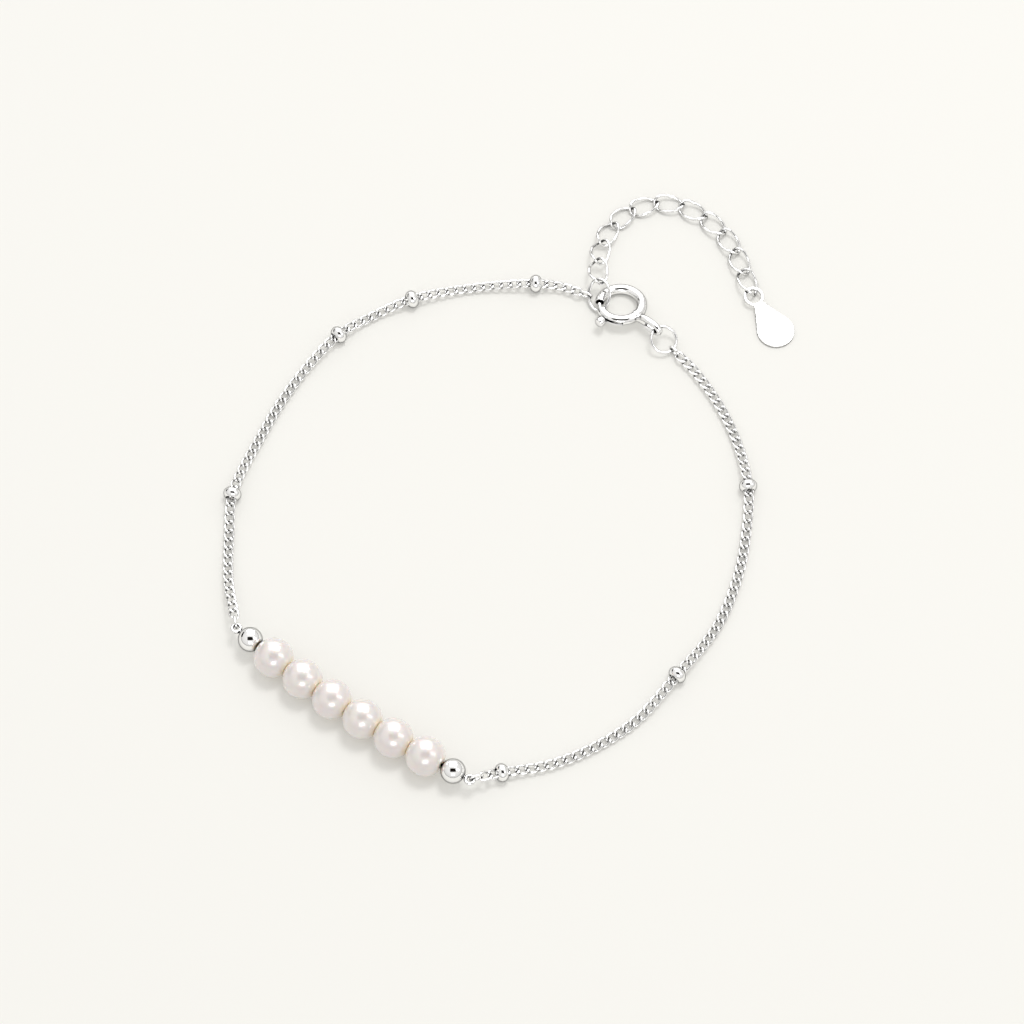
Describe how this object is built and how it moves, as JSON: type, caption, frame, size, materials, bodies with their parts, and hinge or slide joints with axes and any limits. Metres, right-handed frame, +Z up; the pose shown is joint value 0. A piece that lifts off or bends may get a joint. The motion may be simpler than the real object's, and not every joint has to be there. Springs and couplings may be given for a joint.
{
  "type": "pearl bracelet",
  "caption": "Silver chain bracelet with a bar of round pearls, small station beads, a spring ring clasp and an extender chain with a drop tag.",
  "frame": {"origin": "middle of the footprint, on the surface the bracelet lies on", "axes": "+Z up from the surface, +Y from the pearl bar toward the clasp and the extender, +X to the right as the picture shows it"},
  "size_m": [0.059, 0.0686, 0.004],
  "materials": {
    "pearl": "pearl nacre, satin gloss",
    "silver": "polished silver"
  },
  "bodies": {
    "bracelet": {"pearl_1": "pearl", "pearl_2": "pearl", "pearl_3": "pearl", "pearl_4": "pearl", "pearl_5": "pearl", "pearl_6": "pearl", "end_ball_left": "silver", "end_ball_right": "silver", "pearl_wire": "silver", "chain_left": "silver", "chain_right": "silver", "station_bead_left_1": "silver", "station_bead_left_2": "silver", "station_bead_left_3": "silver", "station_bead_left_4": "silver", "station_bead_right_1": "silver", "station_bead_right_2": "silver", "station_bead_right_3": "silver", "hook_ring": "silver", "eye_ring": "silver", "extender_link_1": "silver", "extender_link_2": "silver", "extender_link_3": "silver", "extender_link_4": "silver", "extender_link_5": "silver", "extender_link_6": "silver", "extender_link_7": "silver", "extender_link_8": "silver", "extender_link_9": "silver", "extender_link_10": "silver", "extender_link_11": "silver", "tag": "silver", "clasp_ring": "silver"},
    "clasp_bolt": {"clasp_bolt": "silver"}
  },
  "joints": [
    {"name": "bolt_turn", "type": "hinge", "parent": "bracelet", "child": "clasp_bolt", "pos_m": [0.01134, 0.02048, 0.00099], "axis": [0, 0.2079, 0.9781], "range_deg": [0, 40], "stiffness_Nm_per_rad": 0.0005, "springref_deg": -20.05}
  ]
}
